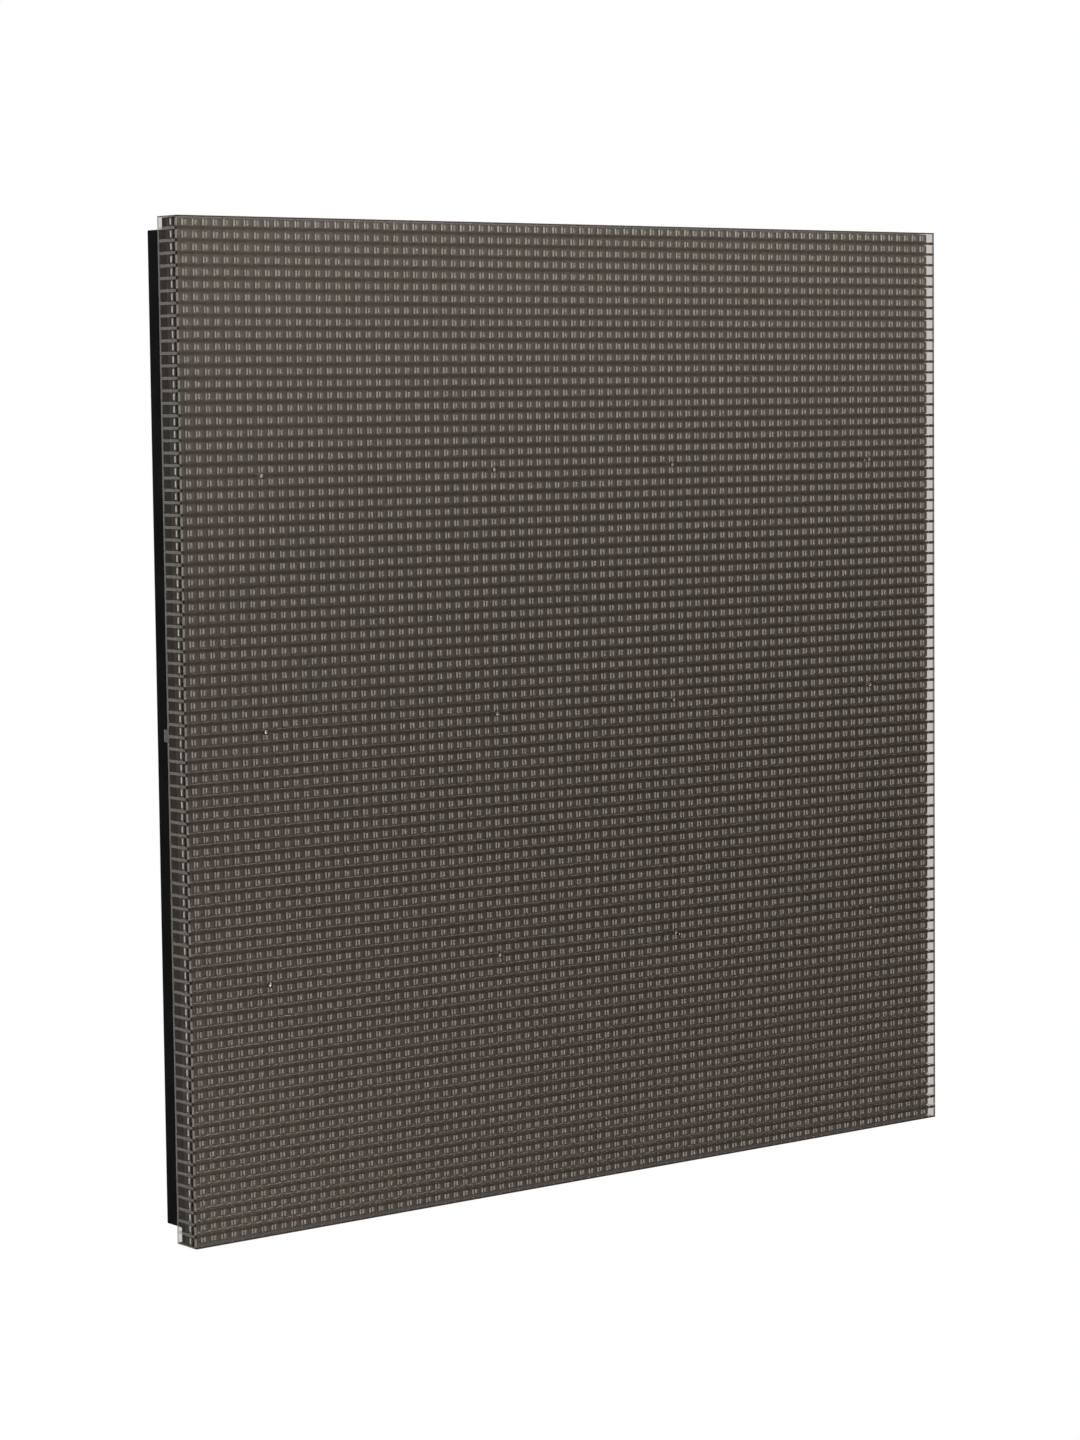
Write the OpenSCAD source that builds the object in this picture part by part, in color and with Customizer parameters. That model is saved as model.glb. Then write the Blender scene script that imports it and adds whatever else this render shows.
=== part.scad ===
// Square indoor LED display module: a smoked mask over a lamp board, on a black rear frame.
// X runs to the right seen from the front, Y runs to the rear and Z runs up.
// The origin is the middle of the rear mounting face.

/* [Module] */
// Width and height of the square front face
face_size = 250; // [230:1:270]
// Depth from the front face to the rear mounting face
module_d = 18; // [16:0.5:22]
// Lamps along each side of the face
lamp_count = 84; // [80:2:88]

/* [Front mask] */
// Depth of the mask from its front face to its rear rim
mask_d = 8.5; // [7.5:0.1:10]
// Thickness of the clear front plate
plate_t = 0.8; // [0.6:0.1:1.2]
// Thickness of the four side walls
wall_t = 0.3; // [0.26:0.02:0.36]
// Thickness of the rib between two rows of lamps
rib_t = 0.72; // [0.5:0.02:1]
// Gap between a rib and the lamp board
rib_gap = 0.1; // [0.05:0.05:0.3]
// Depth that the side windows are sunk into the left and right walls
window_sink = 0.1; // [0.06:0.02:0.16]
// Depth of the plain rim behind the side windows
rim_d = 0.6; // [0.4:0.1:1]
// Radius of a support post between four lamps
post_r = 0.8; // [0.74:0.01:0.82]
// Width of the small locating nib in the middle of each side
nib_w = 3; // [2:0.1:5]
// Height of the locating nib behind the rim
nib_h = 1.5; // [1:0.1:2]

/* [Lamp board] */
// Depth of the board's front side behind the front face
board_set = 3.7; // [3.4:0.1:4]
// Thickness of the board
board_t = 1.6; // [1.2:0.1:2]
// Gap between the board's edge and the mask's wall
board_gap = 0.1; // [0.06:0.02:0.2]

/* [Posts and screws] */
// Distance of the outer posts from the middle, across
outer_post_x = 101.2; // [98:0.1:102]
// Distance of the inner posts from the middle, across
inner_post_x = 29.8; // [26:0.1:36]
// Distance of the upper and lower posts from the middle
post_z = 62.5; // [55:0.1:70]
// Diameter of the screws that hold the mask
screw_d = 1; // [0.9:0.05:1.1]
// Length of the screws under the head
screw_l = 5.2; // [4.8:0.1:5.4]
// Diameter of the screw head
head_d = 2; // [1.8:0.1:2.4]
// Height of the screw head
head_h = 0.7; // [0.6:0.05:0.9]
// Gap all round a screw, an insert or a pin in its hole
fit_gap = 0.02; // [0.01:0.01:0.05]

/* [Rear frame] */
// Distance of the frame's left and right sides from the mask's outside
side_inset = 3.2; // [2.6:0.1:4]
// Distance of the frame's top and bottom from the mask's outside
end_inset = 2.9; // [2.4:0.1:3.6]
// Outer corner radius of the frame
frame_r = 0.4; // [0.2:0.1:2]
// Depth of the frame's front lip, which reaches as far out as the board
lip_d = 1.6; // [1.2:0.1:2]
// Width of the left and right flanges
flange_w = 24.5; // [24:0.1:28]
// Width of the top and bottom rails
rail_w = 12.3; // [10:0.1:15]
// Width of the inner bars
bar_w = 7; // [6:0.5:9]
// Depth of the inner bars
bar_d = 7.5; // [6:0.5:8.5]
// Thickness of the floor under a screw head
screw_floor = 2; // [1.8:0.1:2.2]
// Depth of the moulded hollows in flanges and rails
core_d = 8.5; // [6:0.5:9]
// Wall left round each moulded hollow
core_wall = 2.4; // [1.6:0.1:3]
// Distance between the middles of neighbouring hollows
core_pitch = 15; // [13:0.5:20]

/* [Mounting inserts and locating pins] */
// Distance between the mounting holes across
mount_x = 220; // [218:0.5:224]
// Distance between the mounting holes up and down
mount_z = 180; // [160:1:190]
// Diameter of the thread's bore
mount_bore = 4; // [3:0.1:4.2]
// Outside diameter of an insert
insert_d = 5.6; // [5:0.1:6.4]
// Length of an insert
insert_l = 8; // [6:0.5:9]
// Diameter of the free end of the two locating pins
pin_d = 4; // [3:0.1:4.6]
// Diameter of the locating pins in the frame
pin_seat_d = 5; // [4.6:0.1:6]
// Height of the locating pins behind the mounting face
pin_h = 3; // [2:0.1:5]
// Depth of the locating pins in the frame
pin_seat = 7; // [5:0.5:9]
// Bevel on both ends of a locating pin
pin_bevel = 0.6; // [0.3:0.1:1]

/* [Chips] */
// Width of a square lamp driver
driver_w = 4; // [3:0.5:5]
// Height of a lamp driver
driver_h = 0.85; // [0.7:0.05:1]
// Distance between neighbouring drivers
driver_pitch = 12.4; // [11:0.2:12.8]
// Distance of the inner driver rows from the middle
driver_inner_z = 36; // [32:1:42]
// Distance of the outer driver rows from the middle
driver_outer_z = 88; // [80:1:96]
// Length of a row switch body
switch_l = 4.9; // [4.5:0.1:6]
// Length of a buffer body
buffer_l = 12.8; // [11:0.1:14]
// Width of a row switch body
switch_w = 3.9; // [3.5:0.1:4.5]
// Width of a buffer body
buffer_w = 7.5; // [6:0.1:8]
// Height of a leaded chip body
chip_h = 1.5; // [1.2:0.1:2]
// Distance between the leads of a chip
lead_pitch = 1.27; // [1.2:0.01:1.3]
// Width of a lead
lead_w = 0.4; // [0.3:0.02:0.5]
// Thickness of a lead
lead_t = 0.2; // [0.15:0.01:0.25]
// Reach of a lead beyond the body
lead_reach = 1.05; // [0.8:0.05:1.4]

/* [Capacitors and resistors] */
// Length of a small ceramic capacitor
bypass_l = 2; // [1.6:0.1:2.4]
// Width of a small ceramic capacitor
bypass_w = 1.25; // [1:0.05:1.5]
// Height of a small ceramic capacitor
bypass_h = 0.85; // [0.6:0.05:1]
// Length of a ceramic capacitor's metal end
bypass_end = 0.4; // [0.3:0.05:0.5]
// Diameter of a bulk capacitor can
can_d = 6.3; // [5:0.1:8]
// Height of a bulk capacitor can
can_h = 6.4; // [5:0.1:8]
// Height of a bulk capacitor's base
can_base_h = 0.9; // [0.7:0.1:1.5]
// Length of a resistor array
array_l = 3.2; // [2.8:0.1:4]
// Width of a resistor array
array_w = 1.6; // [1.2:0.1:2]
// Height of a resistor array
array_h = 0.55; // [0.4:0.05:0.8]

/* [Connectors] */
// Distance of the two data headers from the middle
data_x = 65.5; // [58:0.5:70]
// Distance of the connector row above the middle
connector_z = 14; // [12:0.5:17]
// Contacts in each row of a data header
data_columns = 8; // [6:1:10]
// Distance between neighbouring contacts of a data header
data_pitch = 2.54; // [2.4:0.02:2.6]
// Height of a data header
data_h = 9; // [8:0.1:10]
// Outside width of a data header
data_w = 8.9; // [8.5:0.1:9.5]
// Wall of a data header
data_wall = 1.2; // [1:0.1:1.4]
// Length that a data header reaches past its end contacts
data_end = 5; // [4:0.1:6]
// Floor of a data header
data_floor = 2.4; // [2:0.1:3]
// Width of the keyway in a data header
data_key_w = 4.5; // [3.5:0.1:5.5]
// Thickness of a square data contact
data_pin_w = 0.64; // [0.5:0.02:0.7]
// Gap all round a contact in its header
contact_gap = 0.03; // [0.02:0.01:0.06]
// Distance between neighbouring power contacts
power_pitch = 3.96; // [3.6:0.02:4.2]
// Contacts in the power header
power_contacts = 4; // [2:1:4]
// Thickness of a square power contact
power_pin_w = 1.14; // [0.9:0.02:1.3]
// Depth of the power header's base
power_base_w = 8.4; // [7:0.1:9]
// Height of the power header's base
power_base_h = 3.2; // [2.5:0.1:4]
// Height of the power header's locking wall
power_wall_h = 9.4; // [8:0.1:10]
// Thickness of the power header's locking wall
power_wall_t = 1.2; // [1:0.1:1.6]

/* [Hidden] */
$fn = 48;

// Overlap of shapes that are fused or cut
lap = 0.2;
// Lamps and stack of layers
pitch = face_size / lamp_count;
board_size = face_size - 2 * (wall_t + board_gap);
board_back = board_set + board_t;
// Screws
screw_seat = board_back + screw_floor;
screw_tip = screw_seat - screw_l;
tip_room = 0.25;
screw_room = 0.2;
cross_l = head_d * 0.6;
cross_w = head_d * 0.16;
cross_d = head_h * 0.6;
post_columns = [for (x = [-outer_post_x, -inner_post_x, inner_post_x, outer_post_x]) on_grid(x)];
post_rows = [for (z = [-post_z, 0, post_z]) on_grid(z)];
// Frame
frame_x = face_size / 2 - side_inset;
frame_z = face_size / 2 - end_inset;
flange_x = frame_x - flange_w;
rail_z = frame_z - rail_w;
core_l = core_pitch - core_wall;
core_in = on_grid(outer_post_x) + head_d / 2 + core_wall;
core_out = frame_x - core_wall;
flange_cores = floor((frame_z - core_wall - core_l / 2) / core_pitch);
rail_cores = floor((flange_x - core_l / 2) / core_pitch);
// Grip groove in the middle of an insert
groove_d = 0.3;
groove_half = insert_l * 0.1;
groove_end = insert_l * 0.15;
// Windows of the frame and what lies in them
window_x = (on_grid(inner_post_x) + bar_w / 2 + flange_x) / 2;
window_cols = [-window_x, 0, window_x];
driver_rows = [-driver_outer_z, -driver_inner_z, driver_inner_z, driver_outer_z];
switch_z = (driver_inner_z + driver_outer_z) / 2;
bypass_off = driver_w / 2 + bypass_w;
// Places of four things in line, in steps from their middle
four = [-1.5 : 1.5];
// Leads along each side of a chip, and where a lead bends
switch_leads = 4;
buffer_leads_side = 10;
lead_shoulder = lead_reach * 0.4;
lead_heel = lead_reach * 0.6;
lead_bend = lead_reach * 0.15;
// Chip bodies
buffer_space = 6;
buffer_pitch = buffer_w + 2 * lead_reach + buffer_space;
chip_draft = 0.12;
flat_draft = 0.01;
dimple_r = 0.35;
dimple_d = 0.1;
// Bulk capacitors
can_pitch = 2 * can_d;
can_groove = 0.8;
can_neck = 0.4;
can_round = 0.5;
base_margin = 0.15;
base_half = can_d / 2 + base_margin;
base_cut = 1.2;
// Resistor arrays
array_pitch = 2 * array_l;
array_z = connector_z + data_w / 2 + 2 * array_w;
// Connectors
data_l = (data_columns - 1) * data_pitch + 2 * data_end;
data_pin_below = 0.8;
data_pin_h = data_h - data_pin_below;
power_l = power_contacts * power_pitch;
power_pin_below = 0.6;
power_pin_h = power_wall_h - power_pin_below;
hook = 0.6;

// The nearest gap between two lamps
function on_grid(v) = round(v / pitch) * pitch;
// True where a flange hollow clears the inserts and the locating pins
function flange_free(z) =
    abs(abs(z) - mount_z / 2) > core_l / 2 + insert_d / 2 + core_wall
    && abs(z) > core_l / 2 + pin_seat_d / 2 + core_wall;

// A flat shape in the plane of the face, from one depth behind the front face to another
module slab(from, to) {
    translate([0, to - module_d, 0])
        rotate([90, 0, 0])
            linear_extrude(to - from)
                children();
}

// Children at every support post
module at_posts() {
    for (x = post_columns, z = post_rows)
        translate([x, z])
            children();
}

// Children at every mounting hole
module at_mounts() {
    for (x = [-1, 1], z = [-1, 1])
        translate([x * mount_x / 2, z * mount_z / 2])
            children();
}

// Children at both locating pins
module at_pins() {
    for (side = [-1, 1])
        translate([side * mount_x / 2, 0])
            children();
}

// Children on the rear side of the lamp board, with Z as their height above it
module on_back(x, z) {
    translate([x, board_back - module_d, z])
        rotate([-90, 0, 0])
            children();
}

// A plate with rounded corners, reaching x and z to each side of the middle
module rounded_plate(x, z, r) {
    square([2 * x, 2 * (z - r)], center = true);
    square([2 * (x - r), 2 * z], center = true);
    for (side = [-1, 1], end = [-1, 1])
        translate([side * (x - r), end * (z - r)])
            circle(r);
}

// Moulded front: clear plate, windowed side walls, row ribs, support posts and locating nibs
module front_mask() {
    color([0.36, 0.33, 0.31])
        difference() {
            union() {
                slab(0, plate_t)
                    square(face_size, center = true);
                slab(0, mask_d)
                    difference() {
                        square(face_size, center = true);
                        square(face_size - 2 * wall_t, center = true);
                    }
                row_ribs();
                slab(plate_t - lap, board_set)
                    at_posts()
                        circle(post_r);
                locating_nibs();
            }
            side_windows();
            slab(screw_tip - tip_room, board_set + lap)
                at_posts()
                    circle(screw_d / 2 + fit_gap);
        }
}

// One rib behind the plate between each two rows of lamps
module row_ribs() {
    for (row = [1 : lamp_count - 1])
        slab(plate_t - lap, board_set - rib_gap)
            translate([0, (row - lamp_count / 2) * pitch])
                square([face_size - 2 * wall_t + 2 * lap, rib_t], center = true);
}

// One sunk window beside each row of lamps, in the left and right walls
module side_windows() {
    for (side = [-1, 1], row = [0 : lamp_count - 1])
        slab(plate_t, mask_d - rim_d)
            translate([side * (face_size / 2), (row + 0.5 - lamp_count / 2) * pitch])
                square([2 * window_sink, pitch - rib_t], center = true);
}

// A small nib behind the rim in the middle of each side
module locating_nibs() {
    for (turn = [0 : 90 : 270])
        slab(mask_d - lap, mask_d + nib_h)
            rotate(turn)
                translate([face_size / 2 - wall_t / 2, 0])
                    square([wall_t, nib_w], center = true);
}

// Circuit board that carries the lamps on its front and the chips on its rear
module lamp_board() {
    color([0.05, 0.05, 0.05])
        slab(board_set, board_back)
            difference() {
                square(board_size, center = true);
                at_posts()
                    circle(screw_d / 2 + screw_room);
            }
}

// Moulded rear frame: flanges and rails with a front lip, and bars round six windows
module rear_frame() {
    color([0.07, 0.07, 0.07]) {
        difference() {
            union() {
                slab(board_back, module_d)
                    frame_ring()
                        rounded_plate(frame_x, frame_z, frame_r);
                slab(board_back, board_back + lip_d)
                    frame_ring()
                        square(board_size, center = true);
                slab(board_back, board_back + bar_d)
                    frame_bars();
            }
            slab(module_d - core_d, module_d + lap) {
                flange_hollows();
                rail_hollows();
            }
            slab(board_back - lap, screw_seat + lap)
                at_posts()
                    circle(screw_d / 2 + screw_room);
            slab(screw_seat, module_d + lap)
                at_posts()
                    circle(head_d / 2 + screw_room);
            slab(module_d - insert_l, module_d + lap)
                at_mounts()
                    circle(insert_d / 2 + fit_gap);
            slab(module_d - pin_seat - tip_room, module_d + lap)
                at_pins()
                    circle(pin_seat_d / 2 + fit_gap);
        }
    }
}

// An outline less the opening between the flanges and the rails
module frame_ring() {
    difference() {
        children();
        square([2 * flange_x, 2 * rail_z], center = true);
    }
}

// Two upright bars and one cross bar, under the inner screws
module frame_bars() {
    for (side = [-1, 1])
        translate([side * on_grid(inner_post_x), 0])
            square([bar_w, 2 * (rail_z + lap)], center = true);
    square([2 * (flange_x + lap), bar_w], center = true);
}

// Hollows along the left and right flanges, clear of the inserts and the locating pins
module flange_hollows() {
    for (side = [-1, 1], i = [-flange_cores : flange_cores])
        if (flange_free(i * core_pitch))
            translate([side * (core_in + core_out) / 2, i * core_pitch])
                square([core_out - core_in, core_l], center = true);
}

// Hollows along the top and bottom rails
module rail_hollows() {
    for (side = [-1, 1], i = [-rail_cores : rail_cores])
        translate([i * core_pitch, side * (rail_z + frame_z) / 2])
            square([core_l, rail_w - 2 * core_wall], center = true);
}

// Cross-headed screws from the frame through the board into the mask's posts
module mask_screws() {
    color([0.75, 0.75, 0.77])
        difference() {
            union() {
                slab(screw_tip, screw_seat + lap)
                    at_posts()
                        circle(screw_d / 2);
                slab(screw_seat, screw_seat + head_h)
                    at_posts()
                        circle(head_d / 2);
            }
            slab(screw_seat + head_h - cross_d, screw_seat + head_h + lap)
                at_posts() {
                    square([cross_l, cross_w], center = true);
                    square([cross_w, cross_l], center = true);
                }
        }
}

// Grooved brass inserts with the mounting threads
module mounting_inserts() {
    color([0.78, 0.62, 0.32])
        at_insert_axes()
            rotate_extrude()
                polygon([
                    [mount_bore / 2, 0],
                    [insert_d / 2, 0],
                    [insert_d / 2, insert_l / 2 - groove_end],
                    [insert_d / 2 - groove_d, insert_l / 2 - groove_half],
                    [insert_d / 2 - groove_d, insert_l / 2 + groove_half],
                    [insert_d / 2, insert_l / 2 + groove_end],
                    [insert_d / 2, insert_l],
                    [mount_bore / 2, insert_l]
                ]);
}

// Children at each insert, with Z along its bore towards the rear
module at_insert_axes() {
    for (x = [-1, 1], z = [-1, 1])
        translate([x * mount_x / 2, -insert_l, z * mount_z / 2])
            rotate([-90, 0, 0])
                children();
}

// Two stepped steel pins, pressed into the frame, that line the module up with its carrier
module locating_pins() {
    color([0.7, 0.7, 0.72])
        translate([0, -pin_seat, 0])
            rotate([-90, 0, 0])
                at_pins()
                    rotate_extrude()
                        polygon([
                            [0, 0],
                            [pin_seat_d / 2 - pin_bevel, 0],
                            [pin_seat_d / 2, pin_bevel],
                            [pin_seat_d / 2, pin_seat],
                            [pin_d / 2, pin_seat],
                            [pin_d / 2, pin_seat + pin_h - pin_bevel],
                            [pin_d / 2 - pin_bevel, pin_seat + pin_h],
                            [0, pin_seat + pin_h]
                        ]);
}

// Children at every lamp driver, four in each row of a window
module at_drivers() {
    for (column = window_cols, row = driver_rows, i = four)
        on_back(column + i * driver_pitch, row)
            children();
}

// Children at every row switch, two between the driver rows of a window
module at_row_switches() {
    for (column = window_cols, half = [-1, 1], side = [-1, 1])
        on_back(column + side * driver_pitch, half * switch_z)
            children();
}

// Children at every buffer, in line with the data input
module at_buffers() {
    for (i = [-1 : 1])
        on_back(i * buffer_pitch - data_x, -connector_z)
            children();
}

// Children at every small ceramic capacitor, one beside each driver
module at_bypass() {
    for (column = window_cols, row = driver_rows, i = four)
        on_back(column + i * driver_pitch, row + bypass_off)
            children();
}

// Children at every bulk capacitor, below the power and output headers
module at_cans() {
    for (i = four)
        on_back(data_x + i * can_pitch, -connector_z)
            children();
    for (side = [-1, 1])
        on_back(side * can_pitch / 2, -connector_z)
            children();
}

// A moulded chip body with drafted sides and a dimple at its first lead
module chip_body(w, l, h, draft) {
    difference() {
        rotate([90, 0, 0])
            linear_extrude(l, center = true)
                polygon([
                    [draft - w / 2, 0],
                    [w / 2 - draft, 0],
                    [w / 2, h / 2],
                    [w / 2 - draft, h],
                    [draft - w / 2, h],
                    [-w / 2, h / 2]
                ]);
        translate([w / 4, l / 2 - w / 4, h - dimple_d])
            cylinder(h = 2 * dimple_d, r = dimple_r);
    }
}

// Gull-wing leads along both long sides of a chip
module chip_leads(w, h, per_side) {
    for (side = [0, 1], i = [0 : per_side - 1])
        mirror([side, 0, 0])
            translate([0, (i - (per_side - 1) / 2) * lead_pitch, 0])
                rotate([90, 0, 0])
                    linear_extrude(lead_w, center = true)
                        polygon([
                            [w / 2, h / 2 + lead_t / 2],
                            [w / 2 + lead_shoulder, h / 2 + lead_t / 2],
                            [w / 2 + lead_heel, lead_t],
                            [w / 2 + lead_reach, lead_t],
                            [w / 2 + lead_reach, 0],
                            [w / 2 + lead_heel - lead_bend, 0],
                            [w / 2 + lead_shoulder - lead_bend, h / 2 - lead_t / 2],
                            [w / 2, h / 2 - lead_t / 2]
                        ]);
}

// Flat square drivers that set the current of the lamps
module driver_chips() {
    color([0.12, 0.12, 0.13])
        at_drivers()
            chip_body(driver_w, driver_w, driver_h, flat_draft);
}

// Chips that switch the rows of lamps on in turn
module row_switch_chips() {
    color([0.12, 0.12, 0.13])
        at_row_switches()
            chip_body(switch_w, switch_l, chip_h, chip_draft);
}

// Leads of the row switches
module row_switch_leads() {
    color([0.8, 0.8, 0.8])
        at_row_switches()
            chip_leads(switch_w, chip_h, switch_leads);
}

// Buffers that pass the data on
module buffer_chips() {
    color([0.12, 0.12, 0.13])
        at_buffers()
            chip_body(buffer_w, buffer_l, chip_h, chip_draft);
}

// Leads of the buffers
module buffer_leads() {
    color([0.8, 0.8, 0.8])
        at_buffers()
            chip_leads(buffer_w, chip_h, buffer_leads_side);
}

// Ceramic bodies of the small capacitors
module bypass_capacitors() {
    color([0.62, 0.5, 0.38])
        at_bypass()
            translate([0, 0, bypass_h / 2])
                cube([bypass_l - 2 * bypass_end, bypass_w, bypass_h], center = true);
}

// Metal ends of the small capacitors
module bypass_terminals() {
    color([0.8, 0.8, 0.8])
        at_bypass()
            for (side = [-1, 1])
                translate([side * (bypass_l - bypass_end) / 2, 0, bypass_h / 2])
                    cube([bypass_end, bypass_w, bypass_h], center = true);
}

// Grooved aluminium cans of the bulk capacitors
module capacitor_cans() {
    color([0.8, 0.81, 0.83])
        at_cans()
            translate([0, 0, can_base_h])
                rotate_extrude()
                    polygon([
                        [0, 0],
                        [can_d / 2, 0],
                        [can_d / 2, can_groove],
                        [can_d / 2 - can_neck, can_groove + can_neck],
                        [can_d / 2, can_groove + 2 * can_neck],
                        [can_d / 2, can_h - can_round],
                        [can_d / 2 - can_round, can_h],
                        [0, can_h]
                    ]);
}

// Square bases of the bulk capacitors, with two corners cut
module capacitor_bases() {
    color([0.1, 0.1, 0.1])
        at_cans()
            linear_extrude(can_base_h)
                polygon([
                    [-base_half, -base_half],
                    [base_half - base_cut, -base_half],
                    [base_half, base_cut - base_half],
                    [base_half, base_half - base_cut],
                    [base_half - base_cut, base_half],
                    [-base_half, base_half]
                ]);
}

// Resistor arrays in the data input lines
module resistor_arrays() {
    color([0.15, 0.15, 0.17])
        for (i = four)
            on_back(i * array_pitch - data_x, array_z)
                translate([0, 0, array_h / 2])
                    cube([array_l, array_w, array_h], center = true);
}

// Children at each contact of a data header
module at_data_contacts() {
    for (column = [0 : data_columns - 1], row = [-0.5, 0.5])
        translate([(column - (data_columns - 1) / 2) * data_pitch, row * data_pitch, 0])
            children();
}

// Keyed box round the contacts of a data header
module data_shell(x) {
    color([0.1, 0.1, 0.1])
        on_back(x, connector_z)
            difference() {
                linear_extrude(data_h)
                    square([data_l, data_w], center = true);
                translate([0, 0, data_floor])
                    linear_extrude(data_h)
                        square([data_l - 2 * data_wall, data_w - 2 * data_wall], center = true);
                translate([0, -data_w / 2, data_floor])
                    linear_extrude(data_h)
                        square([data_key_w, 3 * data_wall], center = true);
                translate([0, 0, -lap])
                    linear_extrude(data_h)
                        at_data_contacts()
                            square(data_pin_w + 2 * contact_gap, center = true);
            }
}

// Square contacts of a data header, with wedge tips
module data_pins(x) {
    color([0.85, 0.7, 0.35])
        on_back(x, connector_z)
            at_data_contacts()
                contact(data_pin_w, data_pin_h);
}

// One square contact with a wedge tip
module contact(w, h) {
    rotate([90, 0, 0])
        linear_extrude(w, center = true)
            polygon([
                [-w / 2, 0],
                [w / 2, 0],
                [w / 2, h - w],
                [w / 4, h],
                [-w / 4, h],
                [-w / 2, h - w]
            ]);
}

// Header that takes the data in
module data_in_shell() {
    data_shell(-data_x);
}

// Contacts of the data input
module data_in_pins() {
    data_pins(-data_x);
}

// Header that passes the data on to the next module
module data_out_shell() {
    data_shell(data_x);
}

// Contacts of the data output
module data_out_pins() {
    data_pins(data_x);
}

// Children at each power contact
module at_power_contacts() {
    for (i = [0 : power_contacts - 1])
        translate([(i - (power_contacts - 1) / 2) * power_pitch, 0, 0])
            children();
}

// White power header with a hooked locking wall
module power_shell() {
    color([0.92, 0.91, 0.87])
        on_back(0, connector_z)
            difference() {
                rotate([90, 0, 90])
                    linear_extrude(power_l, center = true)
                        polygon([
                            [-power_base_w / 2, 0],
                            [power_base_w / 2, 0],
                            [power_base_w / 2, power_base_h],
                            [power_wall_t - power_base_w / 2, power_base_h],
                            [power_wall_t - power_base_w / 2, power_wall_h - 2 * hook],
                            [power_wall_t + hook - power_base_w / 2, power_wall_h - hook],
                            [power_wall_t - power_base_w / 2, power_wall_h],
                            [-power_base_w / 2, power_wall_h]
                        ]);
                translate([0, 0, -lap])
                    linear_extrude(power_base_h + 2 * lap)
                        at_power_contacts()
                            square(power_pin_w + 2 * contact_gap, center = true);
            }
}

// Square power contacts
module power_pins() {
    color([0.8, 0.8, 0.8])
        on_back(0, connector_z)
            at_power_contacts()
                contact(power_pin_w, power_pin_h);
}

front_mask();
lamp_board();
rear_frame();
mask_screws();
mounting_inserts();
locating_pins();
driver_chips();
row_switch_chips();
row_switch_leads();
buffer_chips();
buffer_leads();
bypass_capacitors();
bypass_terminals();
capacitor_cans();
capacitor_bases();
resistor_arrays();
data_in_shell();
data_in_pins();
data_out_shell();
data_out_pins();
power_shell();
power_pins();
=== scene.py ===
"""Looks of a square display module: lamps behind a smoked mask, on a board and a black rear frame."""

from __future__ import annotations

import logging
import math
from abc import ABC, abstractmethod
from dataclasses import dataclass
from enum import Enum, IntEnum

import bmesh
import bpy
from mathutils import Matrix, Vector


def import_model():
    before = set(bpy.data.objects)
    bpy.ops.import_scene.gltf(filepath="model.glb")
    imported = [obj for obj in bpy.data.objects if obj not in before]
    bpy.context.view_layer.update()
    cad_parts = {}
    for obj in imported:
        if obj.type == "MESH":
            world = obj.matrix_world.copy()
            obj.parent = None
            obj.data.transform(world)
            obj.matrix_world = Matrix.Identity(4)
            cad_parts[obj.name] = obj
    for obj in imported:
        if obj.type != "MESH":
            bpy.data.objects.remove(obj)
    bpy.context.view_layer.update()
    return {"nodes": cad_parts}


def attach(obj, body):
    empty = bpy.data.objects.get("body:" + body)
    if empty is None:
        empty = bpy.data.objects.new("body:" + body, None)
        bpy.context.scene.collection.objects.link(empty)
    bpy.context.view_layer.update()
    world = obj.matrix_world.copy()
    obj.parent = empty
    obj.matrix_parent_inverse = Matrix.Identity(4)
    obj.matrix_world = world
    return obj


LOG = logging.getLogger("display_module")
MM = 0.001
WHITE = (1.0, 1.0, 1.0)
# Values between which most of a noise lies
NOISE_SPAN = (0.3, 0.7)

Colour = tuple[float, float, float]
Place = tuple[float, float, float]
Ramp = tuple[Colour, Colour]
Limits = tuple[float, float]


class Grain(Enum):
    """Ways in which a surface's pattern runs."""

    EVEN = (1.0, 1.0, 1.0)
    ROUND = (12.0, 1.0, 12.0)


def rgba(colour: Colour) -> tuple[float, float, float, float]:
    """Gives an opaque colour with its alpha."""
    return (*colour, 1.0)


def add_object(name: str, bm: bmesh.types.BMesh, materials: list[bpy.types.Material]) -> bpy.types.Object:
    """Turns a finished mesh into an object of the scene.

    Args:
        name: Name of the object.
        bm: The mesh, which is freed.
        materials: Its materials.

    Returns:
        The new object.
    """
    mesh = bpy.data.meshes.new(name)
    bm.to_mesh(mesh)
    bm.free()
    for material in materials:
        mesh.materials.append(material)
    made = bpy.data.objects.new(name, mesh)
    bpy.context.scene.collection.objects.link(made)
    return made


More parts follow.
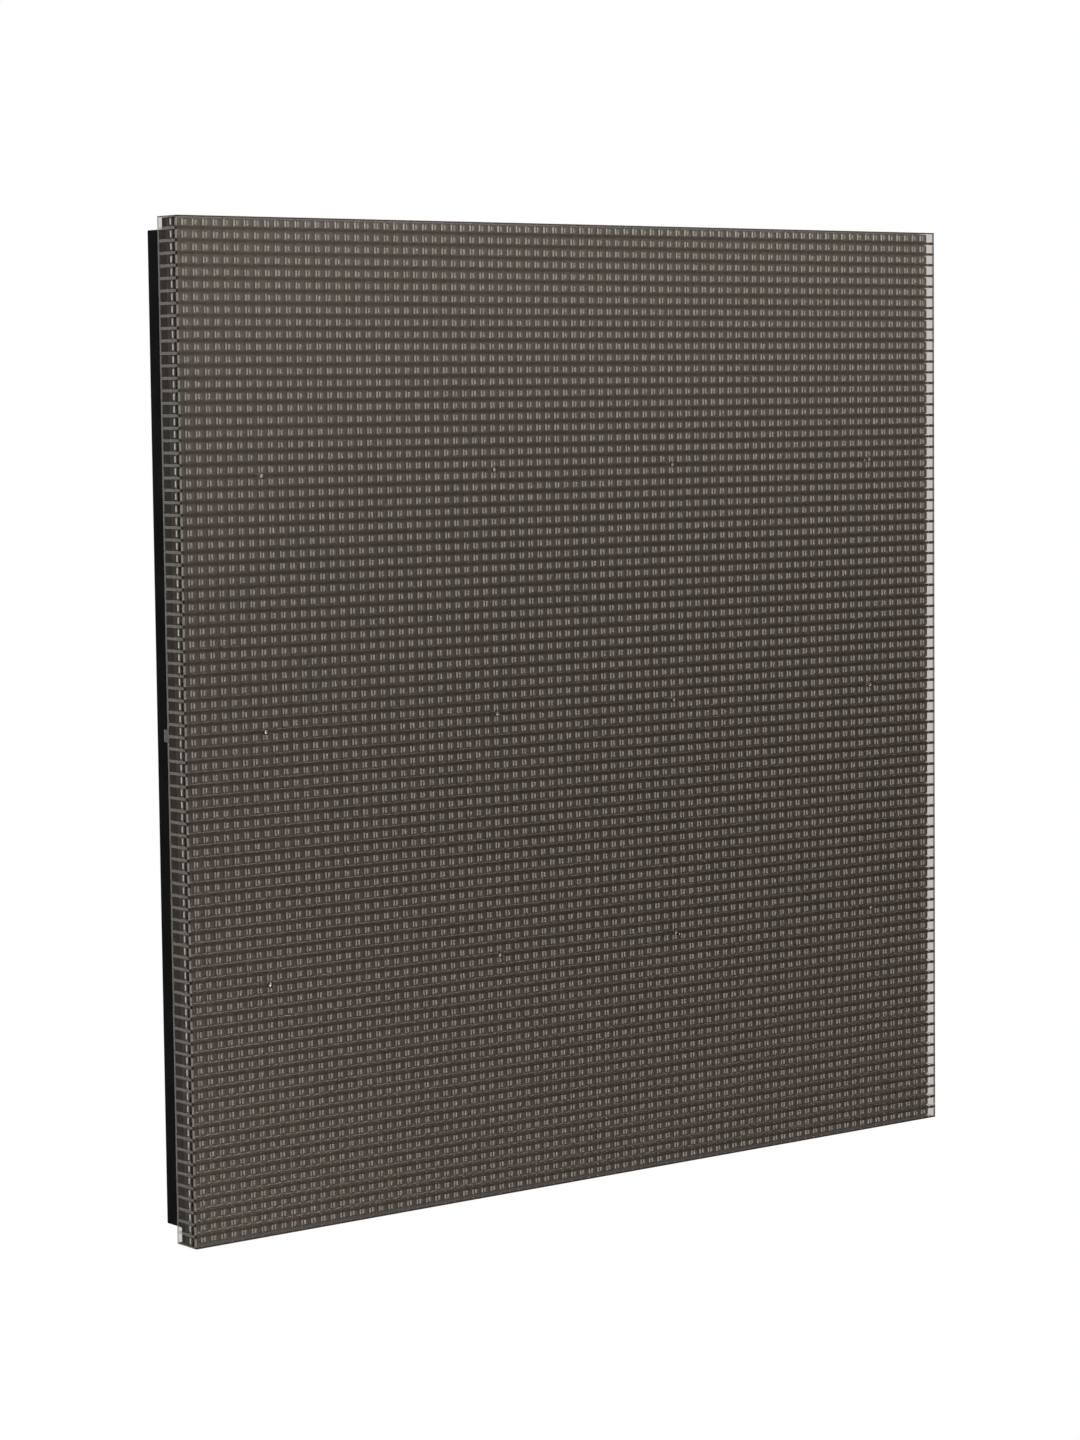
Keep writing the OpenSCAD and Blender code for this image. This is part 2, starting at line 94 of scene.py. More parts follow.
class Sheet:
    """Node tree of a material or of the world, with short calls to fill it."""

    def __init__(self, owner: bpy.types.Material | bpy.types.World, output: str) -> None:
        """Starts an empty tree with its output.

        Args:
            owner: What shows the tree.
            output: Blender's type of the output node without its prefix.
        """
        owner.use_nodes = True
        self.owner = owner
        self.tree = owner.node_tree
        self.tree.nodes.clear()
        self.output = self.add(output)

    @classmethod
    def of_material(cls, name: str) -> Sheet:
        """Starts the tree of a new material."""
        return cls(bpy.data.materials.new(name), "OutputMaterial")

    def add(self, kind: str, **sockets: object) -> bpy.types.Node:
        """Adds a node and sets its sockets by name.

        Args:
            kind: Blender's node type without its prefix.
            sockets: Values by socket name, with underscores for spaces.

        Returns:
            The new node.
        """
        node = self.tree.nodes.new("ShaderNode" + kind)
        for name, value in sockets.items():
            node.inputs[name.replace("_", " ")].default_value = value
        return node

    def link(self, source: bpy.types.NodeSocket, target: bpy.types.NodeSocket) -> None:
        """Joins two sockets."""
        self.tree.links.new(source, target)

    def place(self) -> bpy.types.NodeSocket:
        """Gives the object's own coordinates."""
        return self.add("TexCoord").outputs["Object"]

    def axes(self) -> bpy.types.NodeOutputs:
        """Gives the object's own coordinates one by one.

        Returns:
            Sockets by the axes' names.
        """
        node = self.add("SeparateXYZ")
        self.link(self.place(), node.inputs["Vector"])
        return node.outputs

    def math(self, operation: str, *values: bpy.types.NodeSocket | float) -> bpy.types.NodeSocket:
        """Works out one sum.

        Args:
            operation: Blender's name of the sum.
            values: Sockets to read, or plain numbers.

        Returns:
            The result.
        """
        node = self.add("Math")
        node.operation = operation
        for socket, value in zip(node.inputs, values):
            if isinstance(value, bpy.types.NodeSocket):
                self.link(value, socket)
            else:
                socket.default_value = value
        return node.outputs["Value"]

    def noise(self, size_mm: float, grain: Grain = Grain.EVEN, detail: float = 3.0) -> bpy.types.NodeSocket:
        """Adds a noise with spots of a real size.

        Args:
            size_mm: Size of a spot.
            grain: Way in which the pattern runs.
            detail: Octaves of finer noise.

        Returns:
            The noise's value.
        """
        mapping = self.add("Mapping", Scale=grain.value)
        self.link(self.place(), mapping.inputs["Vector"])
        node = self.add("TexNoise", Scale=1.0 / (size_mm * MM), Detail=detail)
        self.link(mapping.outputs["Vector"], node.inputs["Vector"])
        return node.outputs["Fac"]

    def ramp(self, noise: bpy.types.NodeSocket, colours: Ramp) -> bpy.types.NodeSocket:
        """Turns a noise into colours between two.

        Args:
            noise: The noise to read.
            colours: Colours at the low and the high end.

        Returns:
            The colour socket.
        """
        node = self.add("ValToRGB")
        for end, position, colour in zip(node.color_ramp.elements, NOISE_SPAN, colours):
            end.position, end.color = position, rgba(colour)
        self.link(noise, node.inputs["Fac"])
        return node.outputs["Color"]

    def remap(self, value: bpy.types.NodeSocket, source: Limits, target: Limits) -> bpy.types.NodeSocket:
        """Maps a range of values onto another and stops at its ends.

        Args:
            value: The value to read.
            source: Ends of the value's range.
            target: Results at these ends.

        Returns:
            The mapped value.
        """
        node = self.add("MapRange", From_Min=source[0], From_Max=source[1], To_Min=target[0], To_Max=target[1])
        self.link(value, node.inputs["Value"])
        return node.outputs["Result"]

    def mix(self, share: bpy.types.NodeSocket, first: bpy.types.NodeSocket,
            second: bpy.types.NodeSocket) -> bpy.types.NodeSocket:
        """Mixes two colours.

        Args:
            share: Share of the second colour.
            first: The first colour.
            second: The second colour.

        Returns:
            The mixed colour.
        """
        node = self.add("Mix")
        node.data_type = "RGBA"
        inputs = {socket.identifier: socket for socket in node.inputs}
        self.link(share, inputs["Factor_Float"])
        self.link(first, inputs["A_Color"])
        self.link(second, inputs["B_Color"])
        return next(socket for socket in node.outputs if socket.identifier == "Result_Color")

    def blend(self, share: bpy.types.NodeSocket, first: bpy.types.Node, second: bpy.types.Node) -> bpy.types.Node:
        """Mixes two shaders.

        Args:
            share: Share of the second shader.
            first: The first shader.
            second: The second shader.

        Returns:
            The mixed shader.
        """
        node = self.add("MixShader")
        self.link(share, node.inputs["Fac"])
        self.link(first.outputs[0], node.inputs[1])
        self.link(second.outputs[0], node.inputs[2])
        return node

    def bump(self, height: bpy.types.NodeSocket, depth_mm: float, shader: bpy.types.Node) -> None:
        """Lets a height texture bend a shader's normals.

        Args:
            height: The height to read.
            depth_mm: Depth of the relief.
            shader: Shader whose normals bend.
        """
        node = self.add("Bump", Strength=1.0, Distance=depth_mm * MM)
        self.link(height, node.inputs["Height"])
        self.link(node.outputs["Normal"], shader.inputs["Normal"])

    def show(self, shader: bpy.types.Node) -> bpy.types.Material | bpy.types.World:
        """Joins the last shader to the output.

        Args:
            shader: The last shader of the tree.

        Returns:
            What shows the tree.
        """
        self.link(shader.outputs[0], self.output.inputs["Surface"])
        return self.owner


@dataclass(frozen=True)
class Finish(ABC):
    """Finish of a surface."""

    name: str

    @abstractmethod
    def material(self) -> bpy.types.Material:
        """Builds the material."""


@dataclass(frozen=True)
class Moulding(Finish):
    """Opaque moulded or pressed surface with a fine texture."""

    colours: Ramp
    roughness: Limits
    grain_mm: float
    relief_mm: float
    patch_mm: float = 9.0
    specular: float = 0.5
    ior: float = 1.5
    grain_detail: float = 2.0

    def material(self) -> bpy.types.Material:
        """Builds the material.

        Returns:
            The finished material.
        """
        sheet = Sheet.of_material(self.name)
        shader = sheet.add("BsdfPrincipled", Specular_IOR_Level=self.specular, IOR=self.ior)
        patches = sheet.noise(self.patch_mm)
        grain = sheet.noise(self.grain_mm, detail=self.grain_detail)
        sheet.link(sheet.ramp(patches, self.colours), shader.inputs["Base Color"])
        sheet.link(sheet.remap(grain, NOISE_SPAN, self.roughness), shader.inputs["Roughness"])
        sheet.bump(grain, self.relief_mm, shader)
        return sheet.show(shader)


@dataclass(frozen=True)
class BareMetal(Finish):
    """Plated, turned or drawn metal with fine tool marks."""

    colours: Ramp
    roughness: Limits
    grain: Grain
    mark_mm: float
    relief_mm: float

    def material(self) -> bpy.types.Material:
        """Builds the material.

        Returns:
            The finished material.
        """
        sheet = Sheet.of_material(self.name)
        shader = sheet.add("BsdfPrincipled", Metallic=1.0)
        marks = sheet.noise(self.mark_mm, self.grain)
        sheet.link(sheet.ramp(marks, self.colours), shader.inputs["Base Color"])
        sheet.link(sheet.remap(marks, NOISE_SPAN, self.roughness), shader.inputs["Roughness"])
        sheet.bump(marks, self.relief_mm, shader)
        return sheet.show(shader)


@dataclass(frozen=True)
class SmokedMoulding(Finish):
    """See-through smoked moulding with slight waves, textured on its four outer sides, with painted light on the
    plate's edge beside the rows and painted shade on the side windows.
    """

    name: str = "smoked_moulding"
    # Smoke and gloss
    tint: Colour = (0.38, 0.18, 0.01)
    density: float = 180.0
    shade: Colour = (0.94, 0.94, 0.94)
    ior: float = 1.49
    roughness: Limits = (0.01, 0.03)
    wave_mm: float = 14.0
    relief_mm: float = 0.002
    # Distances of the sides, of the plate, of the rim and of the windows from the middle or the rear face
    edge_mm: float = 124.97
    plate_mm: float = 17.2
    rim_mm: float = 10.15
    window_mm: float = 124.85
    # Rows of lamps, and the stripe beside each on the plate's edge: lit frost as painted light for the light that the
    # plate carries from the lamps
    row_mm: float = 250.0 / 84
    painted_light_band_mm: float = 2.05
    # Texture of the left and right sides and of the top and bottom, with painted light on the plate's edge
    frost: Ramp = ((0.29, 0.27, 0.235), (0.39, 0.365, 0.32))
    frost_grain_mm: float = 0.5
    frost_roughness: float = 0.5
    painted_light_share: float = 0.75
    rung_share: float = 0.45
    rim_share: float = 0.33
    inside_share: float = 0.2
    end_frost: Ramp = ((0.02, 0.017, 0.014), (0.035, 0.03, 0.025))
    end_share: float = 0.9
    # Painted shade: dark stripe on the side windows beside the plate, seen from outside
    painted_shade_mm: float = 16.45
    painted_shade_half_mm: float = 0.5
    painted_shade: Colour = (0.010, 0.009, 0.008)
    painted_shade_share: float = 0.9

    def material(self) -> bpy.types.Material:
        """Builds the material, which lets light through to the lamps.

        Returns:
            The finished material.
        """
        sheet = Sheet.of_material(self.name)
        clear = sheet.add("BsdfPrincipled", Base_Color=rgba(WHITE), IOR=self.ior, Transmission_Weight=1.0)
        waves = sheet.noise(self.wave_mm)
        sheet.link(sheet.remap(waves, NOISE_SPAN, self.roughness), clear.inputs["Roughness"])
        sheet.bump(waves, self.relief_mm, clear)
        surface = self._paint_shade(sheet, self._texture(sheet, clear))
        through = sheet.add("BsdfTransparent", Color=rgba(self.shade))
        path = sheet.add("LightPath").outputs
        soft = sheet.math("MAXIMUM", path["Is Shadow Ray"], path["Is Diffuse Ray"])
        smoke = sheet.add("VolumeAbsorption", Color=rgba(self.tint), Density=self.density)
        sheet.link(smoke.outputs["Volume"], sheet.output.inputs["Volume"])
        return sheet.show(sheet.blend(soft, surface, through))

    def _texture(self, sheet: Sheet, clear: bpy.types.Node) -> bpy.types.Node:
        """Frosts the outer sides, with painted light on the plate's edge beside each row of lamps.

        Args:
            sheet: Tree that takes the nodes.
            clear: Shader to frost.

        Returns:
            The mixed shader.
        """
        frosted = sheet.add("BsdfDiffuse", Roughness=self.frost_roughness)
        grain = sheet.noise(self.frost_grain_mm)
        end = sheet.math("GREATER_THAN", self._off(sheet, "Z"), self.edge_mm * MM)
        colour = sheet.mix(end, sheet.ramp(grain, self.frost), sheet.ramp(grain, self.end_frost))
        sheet.link(colour, frosted.inputs["Color"])
        share = sheet.math("MAXIMUM", self._side(sheet), sheet.math("MULTIPLY", end, self.end_share))
        return sheet.blend(share, clear, frosted)

    def _side(self, sheet: Sheet) -> bpy.types.NodeSocket:
        """Gives the frost's share on the textured left and right sides and 0 elsewhere.

        On the edge of the front plate the texture keeps to a stripe beside each row of lamps, as painted light for
        the light that the plate carries from the lamps.

        Args:
            sheet: Tree that takes the nodes.

        Returns:
            The value socket.
        """
        depth = self._off(sheet, "Y")
        phase = sheet.math("FRACT", sheet.math("DIVIDE", self._off(sheet, "Z"), self.row_mm * MM))
        middle = sheet.math("ABSOLUTE", sheet.math("SUBTRACT", phase, 0.5))
        beside = sheet.math("LESS_THAN", middle, self.painted_light_band_mm / self.row_mm / 2)
        rim = sheet.math("LESS_THAN", depth, self.rim_mm * MM)
        rung = sheet.math("MULTIPLY_ADD", rim, self.rim_share - self.rung_share, self.rung_share)
        behind = sheet.math("LESS_THAN", depth, self.plate_mm * MM)
        # painted light: lit frost beside each row on the plate's edge
        painted_light_band = sheet.math("MULTIPLY", beside, self.painted_light_share)
        front = sheet.math("MULTIPLY", sheet.math("SUBTRACT", 1.0, behind), painted_light_band)
        share = sheet.math("MULTIPLY_ADD", behind, rung, front)
        outer = sheet.math("GREATER_THAN", self._off(sheet, "X"), self.edge_mm * MM)
        seen = sheet.math("MULTIPLY_ADD", self._inside(sheet), self.inside_share - 1.0, 1.0)
        return sheet.math("MULTIPLY", sheet.math("MULTIPLY", outer, seen), share)

    def _paint_shade(self, sheet: Sheet, surface: bpy.types.Node) -> bpy.types.Node:
        """Paints shade, seen from outside, as a dark stripe on each side window beside the plate, over the lit lamp
        tops behind it.

        Args:
            sheet: Tree that takes the nodes.
            surface: Shader to darken.

        Returns:
            The mixed shader.
        """
        across = self._off(sheet, "X")
        window = sheet.math("MULTIPLY", sheet.math("GREATER_THAN", across, self.window_mm * MM),
                            sheet.math("LESS_THAN", across, self.edge_mm * MM))
        off = sheet.math("ABSOLUTE", sheet.math("SUBTRACT", self._off(sheet, "Y"), self.painted_shade_mm * MM))
        beside = sheet.math("MULTIPLY", sheet.math("LESS_THAN", off, self.painted_shade_half_mm * MM), self.painted_shade_share)
        share = sheet.math("MULTIPLY", beside, sheet.math("SUBTRACT", 1.0, self._inside(sheet)))
        # painted shade: a dark diffuse sheet over the window stripe
        dark = sheet.add("BsdfDiffuse", Color=rgba(self.painted_shade), Roughness=self.frost_roughness)
        return sheet.blend(sheet.math("MULTIPLY", window, share), surface, dark)

    @staticmethod
    def _off(sheet: Sheet, axis: str) -> bpy.types.NodeSocket:
        """Gives the distance from the middle along one axis."""
        return sheet.math("ABSOLUTE", sheet.axes()[axis])

    @staticmethod
    def _inside(sheet: Sheet) -> bpy.types.NodeSocket:
        """Gives 1 where a surface is seen from inside the moulding and 0 elsewhere."""
        return sheet.add("NewGeometry").outputs["Backfacing"]


@dataclass(frozen=True)
class LampFinish(Finish):
    """White lamp body with a dark foot, and a dark rim round its resin top."""

    name: str = "lamp"
    white: Ramp = ((0.73, 0.715, 0.68), (0.81, 0.795, 0.76))
    white_patch_mm: float = 3.0
    seam: Colour = (0.012, 0.012, 0.012)
    resin: Ramp = ((0.034, 0.032, 0.029), (0.048, 0.045, 0.041))
    resin_patch_mm: float = 4.0
    seam_from_mm: float = -15.103
    seam_to_mm: float = -15.06
    foot_mm: float = -14.5
    # Roughness of the resin and of the body
    roughness: Limits = (0.2, 0.5)
    specular: float = 0.4

    def material(self) -> bpy.types.Material:
        """Builds the material, whose layers follow the lamp's depth.

        Returns:
            The finished material.
        """
        sheet = Sheet.of_material(self.name)
        shader = sheet.add("BsdfPrincipled", Specular_IOR_Level=self.specular)
        body = sheet.ramp(sheet.noise(self.white_patch_mm), self.white)
        layers = sheet.ramp(sheet.noise(self.resin_patch_mm), self.resin)
        seam = sheet.add("RGB").outputs["Color"]
        seam.default_value = rgba(self.seam)
        below_resin = self._behind(sheet, self.seam_from_mm)
        for behind, layer in ((below_resin, seam), (self._behind(sheet, self.seam_to_mm), body),
                              (self._behind(sheet, self.foot_mm), seam)):
            layers = sheet.mix(behind, layers, layer)
        sheet.link(layers, shader.inputs["Base Color"])
        sheet.link(sheet.remap(below_resin, (0.0, 1.0), self.roughness), shader.inputs["Roughness"])
        return sheet.show(shader)

    @staticmethod
    def _behind(sheet: Sheet, depth_mm: float) -> bpy.types.NodeSocket:
        """Gives 1 behind a depth and 0 in front of it."""
        return sheet.math("GREATER_THAN", sheet.axes()["Y"], depth_mm * MM)


class Quarter(Enum):
    """Quarters of the face, as steps across and up."""

    LOWER_LEFT = (0, 0)
    LOWER_RIGHT = (1, 0)
    UPPER_LEFT = (0, 1)
    UPPER_RIGHT = (1, 1)


class LampPart(IntEnum):
    """Parts of a lamp, by the slot of their material."""

    BODY = 0
    DARK_SIDE = 1
    SLOPE = 2


@dataclass
class Lamps:
    """The field of lamps on the board's front: white bodies with raised resin tops."""

    count: int = 84
    face_mm: float = 250.0
    width_mm: float = 2.1
    corner_mm: float = 0.3
    base_y_mm: float = -14.3
    height_mm: float = 0.8
    rim_mm: float = 0.42
    slope_mm: float = 0.38
    rise_mm: float = 0.138
    # Normals of the sides and corners with painted shade, and of the resin's slopes
    side_normal: float = 0.6
    slope_normal: Limits = (0.2, 0.6)

    @property
    def pitch(self) -> float:
        """Distance between two lamps in metres."""
        return self.face_mm * MM / self.count

    def build(self) -> list[bpy.types.Object]:
        """Models the lamps of each quarter.

        Returns:
            The four pieces.
        """
        # Corners, where the terminals sit, and upper and lower sides of each lamp: painted shade, a dark colour
        # standing in for their shading
        side = Moulding("lamp_painted_shade", ((0.02, 0.019, 0.017), (0.035, 0.033, 0.03)), (0.45, 0.6), 0.2, 0.003)
        slope = Moulding("lamp_slope", ((0.016, 0.015, 0.014), (0.028, 0.026, 0.024)), (0.12, 0.2), 0.5, 0.0005,
                         specular=1.0, ior=1.65)
        materials = [finish.material() for finish in (LampFinish(), side, slope)]
        return [self._piece(quarter, materials) for quarter in Quarter]

    def _lamp(self) -> bmesh.types.BMesh:
        """Models one lamp in the middle of the face, with its top towards the front.

        Returns:
            The lamp's mesh.
        """
        bm = bmesh.new()
        bmesh.ops.create_grid(bm, x_segments=1, y_segments=1, size=self.width_mm * MM / 2)
        bmesh.ops.bevel(bm, geom=list(bm.verts), offset=self.corner_mm * MM, offset_type="OFFSET", affect="VERTICES",
                        segments=1, profile=0.5, material=-1)
        top = bm.faces[:]
        sides = bmesh.ops.extrude_edge_only(bm, edges=list(bm.edges))["geom"]
        feet = [item for item in sides if isinstance(item, bmesh.types.BMVert)]
        bmesh.ops.translate(bm, vec=Vector((0, 0, -self.height_mm * MM)), verts=feet)
        bmesh.ops.inset_individual(bm, faces=top, thickness=self.rim_mm * MM)
        bmesh.ops.inset_individual(bm, faces=top, depth=self.rise_mm * MM)
        resin = self.width_mm - 2 * self.rim_mm
        bmesh.ops.scale(bm, vec=Vector((1 - 2 * self.slope_mm / resin, 1, 1)), verts=top[0].verts)
        bmesh.ops.recalc_face_normals(bm, faces=bm.faces)
        for face in bm.faces:
            face.material_index = self._part(face.normal)
        bmesh.ops.rotate(bm, matrix=Matrix.Rotation(math.radians(90), 3, "X"), verts=bm.verts)
        bmesh.ops.translate(bm, vec=Vector((0, (self.base_y_mm - self.height_mm) * MM, 0)), verts=bm.verts)
        return bm

    def _part(self, normal: Vector) -> LampPart:
        """Tells to which part a face of the upright lamp belongs.

        Args:
            normal: The face's normal.

        Returns:
            The part.
        """
        low, high = self.slope_normal
        if abs(normal.y) > self.side_normal:
            return LampPart.DARK_SIDE
        return LampPart.SLOPE if low < abs(normal.x) < high else LampPart.BODY

    def _piece(self, quarter: Quarter, materials: list[bpy.types.Material]) -> bpy.types.Object:
        """Repeats one lamp over a quarter of the face.

        Args:
            quarter: The quarter.
            materials: Materials by the parts of a lamp.

        Returns:
            The finished piece.
        """
        lamp = self._lamp()
        half = self.count // 2
        right, up = quarter.value
        start = Vector(((right - 1) * half + 0.5, 0, (up - 1) * half + 0.5)) * self.pitch
        bmesh.ops.translate(lamp, vec=start, verts=lamp.verts)
        for axis in (Vector((1, 0, 0)), Vector((0, 0, 1))):
            self._line(lamp, axis, half)
        return add_object("lamps_" + quarter.name.lower(), lamp, materials)

    def _line(self, lamp: bmesh.types.BMesh, axis: Vector, count: int) -> None:
        """Repeats all that there is along one axis.

        Args:
            lamp: Mesh to repeat.
            axis: Direction of the line.
            count: Number of repeats, with the first.
        """
        one = list(lamp.verts) + list(lamp.edges) + list(lamp.faces)
        for step in range(1, count):
            copy = bmesh.ops.duplicate(lamp, geom=one)["geom"]
            verts = [item for item in copy if isinstance(item, bmesh.types.BMVert)]
            bmesh.ops.translate(lamp, vec=axis * self.pitch * step, verts=verts)


class Finishes:
    """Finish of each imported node."""

    def __init__(self) -> None:
        """Fills the table of nodes."""
        black = Moulding("frame_black", ((0.006, 0.006, 0.0065), (0.011, 0.011, 0.0115)), (0.7, 0.85), 0.35, 0.012,
                         specular=0.02)
        lacquer = Moulding("board_lacquer", ((0.010, 0.010, 0.0105), (0.016, 0.016, 0.017)), (0.32, 0.42), 0.8, 0.003,
                           specular=0.25)
        chip = Moulding("chip_black", ((0.016, 0.016, 0.018), (0.03, 0.03, 0.032)), (0.55, 0.7), 0.12, 0.004, 2.0)
        header = Moulding("header_black", ((0.012, 0.012, 0.012), (0.022, 0.022, 0.022)), (0.38, 0.5), 0.3, 0.004)
        nylon = Moulding("header_white", ((0.70, 0.68, 0.61), (0.80, 0.78, 0.72)), (0.35, 0.48), 0.4, 0.004)
        clay = Moulding("capacitor_ceramic", ((0.34, 0.25, 0.15), (0.46, 0.35, 0.23)), (0.4, 0.55), 0.2, 0.004, 1.0)
        steel = BareMetal("screw_steel", ((0.50, 0.50, 0.52), (0.66, 0.66, 0.68)), (0.22, 0.36),
                          Grain.EVEN, 0.5, 0.003)
        brass = BareMetal("insert_brass", ((0.60, 0.43, 0.19), (0.74, 0.56, 0.29)), (0.24, 0.38),
                          Grain.ROUND, 0.6, 0.004)
        tin = BareMetal("lead_tin", ((0.54, 0.54, 0.53), (0.70, 0.70, 0.68)), (0.25, 0.42), Grain.EVEN, 0.3, 0.003)
        gold = BareMetal("contact_gold", ((0.66, 0.47, 0.18), (0.82, 0.62, 0.28)), (0.16, 0.28),
                         Grain.EVEN, 0.4, 0.002)
        can = BareMetal("capacitor_can", ((0.62, 0.63, 0.64), (0.78, 0.79, 0.80)), (0.22, 0.36),
                        Grain.ROUND, 0.7, 0.003)
        self.by_node: dict[str, Finish] = {
            "front_mask": SmokedMoulding(),
            "lamp_board": lacquer,
            "rear_frame": black,
            "mask_screws": steel,
            "mounting_inserts": brass,
            "locating_pins": steel,
            "driver_chips": chip,
            "row_switch_chips": chip,
            "row_switch_leads": tin,
            "buffer_chips": chip,
            "buffer_leads": tin,
            "bypass_capacitors": clay,
            "bypass_terminals": tin,
            "capacitor_cans": can,
            "capacitor_bases": header,
            "resistor_arrays": chip,
            "data_in_shell": header,
            "data_in_pins": gold,
            "data_out_shell": header,
            "data_out_pins": gold,
            "power_shell": nylon,
            "power_pins": tin,
        }

    def dress(self, nodes: dict[str, bpy.types.Object]) -> None:
        """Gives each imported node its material.

        Args:
            nodes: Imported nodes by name.
        """
        made: dict[str, bpy.types.Material] = {}
        for name, finish in self.by_node.items():
            if finish.name not in made:
                made[finish.name] = finish.material()
            nodes[name].data.materials.clear()
            nodes[name].data.materials.append(made[finish.name])
            LOG.info("%s: %s", name, finish.name)


@dataclass(frozen=True)
class SoftLight:
    """Area light that points at the object."""

    name: str
    at: Place
    watts: float
    width: float
    height: float

    def hang(self) -> None:
        """Adds the light to the scene."""
        data = bpy.data.lights.new(self.name, "AREA")
        data.shape, data.energy = "RECTANGLE", self.watts
        data.size, data.size_y = self.width, self.height
        light = bpy.data.objects.new(self.name, data)
        light.location = Vector(self.at)
        light.rotation_mode = "QUATERNION"
        light.rotation_quaternion = (-Vector(self.at)).to_track_quat("-Z", "Y")
        bpy.context.scene.collection.objects.link(light)


@dataclass(frozen=True)
class Screen:
    """Glowing screen beside the object, which shows only in its gloss and through its clear parts."""

    name: str
    at: Place
    size: float
    # Brightness in the middle and at the reach
    levels: Limits
    reach: float = 1.0
    colour: Colour = (1.0, 0.88, 0.76)
    # How much distances across count against those up and down
    across: float = 0.5

    def stand(self) -> None:
        """Adds the screen to the scene."""
        bm = bmesh.new()
        bmesh.ops.create_grid(bm, x_segments=1, y_segments=1, size=self.size / 2)
        bmesh.ops.rotate(bm, matrix=(-Vector(self.at)).to_track_quat("Z", "Y").to_matrix(), verts=bm.verts)
        bmesh.ops.translate(bm, vec=Vector(self.at), verts=bm.verts)
        screen = add_object(self.name, bm, [self._glow()])
        screen.visible_camera = screen.visible_diffuse = screen.visible_shadow = False

    def _glow(self) -> bpy.types.Material:
        """Builds the glow, which changes away from the middle.

        Returns:
            The finished material.
        """
        sheet = Sheet.of_material(self.name)
        x, y, z = self.at
        place = sheet.add("Mapping", Location=(-x * self.across, -y * self.across, -z),
                          Scale=(self.across, self.across, 1.0))
        sheet.link(sheet.place(), place.inputs["Vector"])
        squared = sheet.add("VectorMath")
        squared.operation = "DOT_PRODUCT"
        for socket in squared.inputs[:2]:
            sheet.link(place.outputs["Vector"], socket)
        glow = sheet.add("Emission", Color=rgba(self.colour))
        level = sheet.remap(squared.outputs["Value"], (0.0, self.reach ** 2), self.levels)
        sheet.link(level, glow.inputs["Strength"])
        return sheet.show(glow)


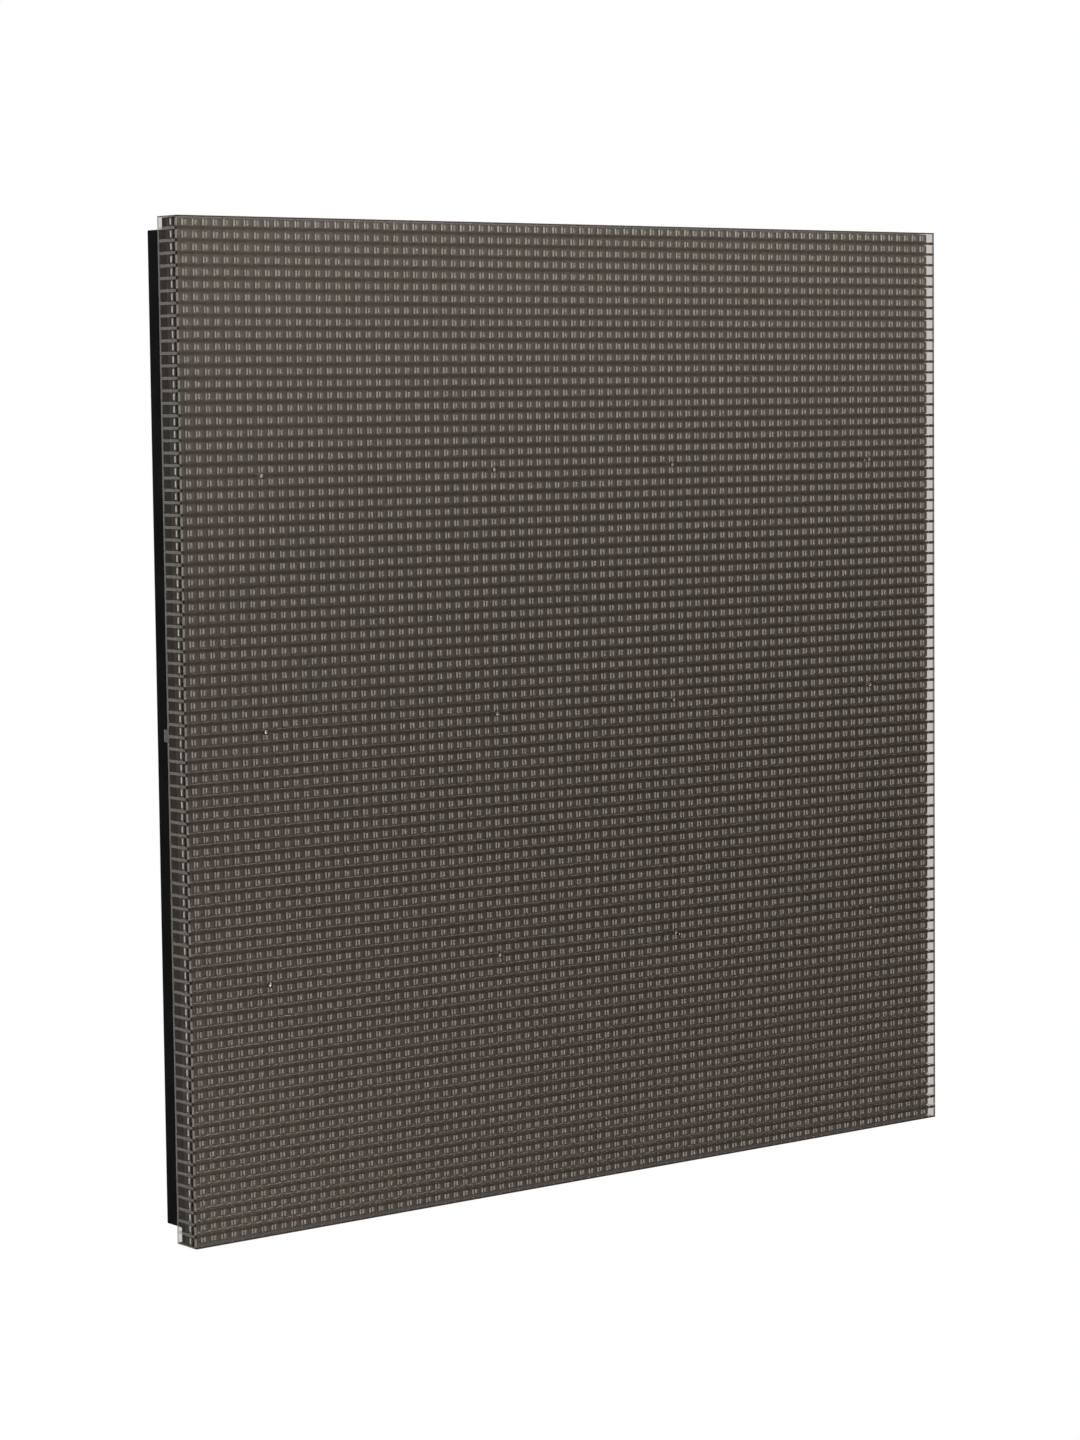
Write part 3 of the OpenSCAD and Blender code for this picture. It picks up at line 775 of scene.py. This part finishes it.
@dataclass
class Studio:
    """Pale floor, soft light and the camera."""

    floor_z: float = -0.6
    floor_half: float = 20.0
    floor_colour: Colour = (0.8, 0.8, 0.8)
    sky_colour: Colour = (1.0, 0.98, 0.96)
    sky_strength: float = 0.2
    lens_mm: float = 92.57
    sensor_mm: float = 36.0
    camera_at: Place = (-0.6066, -0.7673, 0.0825)
    camera_back: Place = (-0.6161, -0.7827, 0.0887)
    roll_deg: float = -0.631
    lights: tuple[SoftLight, ...] = (
        SoftLight("key", (-0.6, -0.66, 0.6), 8.5, 0.45, 0.45),
        SoftLight("top", (0.0, -0.5, 1.5), 4.0, 0.8, 0.8),
        SoftLight("front", (0.0, -1.1, 0.1), 5.0, 0.9, 1.6),
        SoftLight("rear", (0.6, 1.2, 0.9), 14.0, 0.8, 0.8),
    )
    screens: tuple[Screen, ...] = (
        Screen("screen_left", (-0.75, 0.75, 0.0), 1.3, (0.2, 0.3)),
        Screen("screen_back", (1.0, 1.25, 0.0), 1.4, (0.7, 0.7), colour=(1.0, 0.96, 0.94)),
        Screen("screen_side", (1.3, -0.05, 0.0), 1.0, (0.1, 0.1)),
        Screen("screen_right", (1.08, -1.0, -0.24), 1.7, (0.31, 1.4), 0.6),
    )

    def build(self) -> None:
        """Makes floor, world, lights, screens and camera."""
        self._floor()
        self._world()
        for light in self.lights:
            light.hang()
        for screen in self.screens:
            screen.stand()
        self._camera()
        bpy.context.scene.view_settings.view_transform = "Standard"

    def _floor(self) -> None:
        """Lays a wide pale floor that looks white to the camera."""
        bm = bmesh.new()
        bmesh.ops.create_grid(bm, x_segments=1, y_segments=1, size=self.floor_half)
        bmesh.ops.translate(bm, vec=Vector((0, 0, self.floor_z)), verts=bm.verts)
        sheet = Sheet.of_material("floor_white")
        pale = sheet.add("BsdfDiffuse", Color=rgba(self.floor_colour))
        white = sheet.add("Emission", Strength=1.0)
        floor = add_object("floor", bm, [sheet.show(sheet.blend(self._seen(sheet), pale, white))])

    def _world(self) -> None:
        """Makes the surroundings: white to look at, a soft light on the object."""
        world = bpy.data.worlds.new("studio")
        bpy.context.scene.world = world
        sheet = Sheet(world, "OutputWorld")
        soft = sheet.add("Background", Color=rgba(self.sky_colour), Strength=self.sky_strength)
        white = sheet.add("Background", Color=rgba(WHITE), Strength=1.0)
        sheet.show(sheet.blend(self._seen(sheet), soft, white))

    @staticmethod
    def _seen(sheet: Sheet) -> bpy.types.NodeSocket:
        """Gives 1 for rays of the camera, of gloss and through clear parts.

        Args:
            sheet: Tree that takes the nodes.

        Returns:
            The value socket.
        """
        path = sheet.add("LightPath").outputs
        direct = sheet.math("MAXIMUM", path["Is Camera Ray"], path["Is Glossy Ray"])
        return sheet.math("MAXIMUM", direct, path["Is Transmission Ray"])

    def _camera(self) -> None:
        """Sets the camera where the photograph was taken."""
        back = Vector(self.camera_back).normalized()
        level = Vector((0, 0, 1)).cross(back).normalized()
        upright = back.cross(level)
        roll = math.radians(self.roll_deg)
        right = level * math.cos(roll) + upright * math.sin(roll)
        up = upright * math.cos(roll) - level * math.sin(roll)
        turn = Matrix((right, up, back)).transposed()
        data = bpy.data.cameras.new("camera")
        data.lens, data.sensor_width = self.lens_mm, self.sensor_mm
        camera = bpy.data.objects.new("camera", data)
        camera.matrix_world = Matrix.Translation(Vector(self.camera_at)) @ turn.to_4x4()
        bpy.context.scene.collection.objects.link(camera)
        bpy.context.scene.camera = camera


def main() -> None:
    """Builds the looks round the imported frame."""
    logging.basicConfig(level=logging.INFO, format="%(message)s")
    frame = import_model()
    Studio().build()
    Finishes().dress(frame["nodes"])
    for piece in Lamps().build():
        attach(piece, "root")
        LOG.info("%s: %d faces", piece.name, len(piece.data.polygons))


if __name__ == "__main__":
    main()
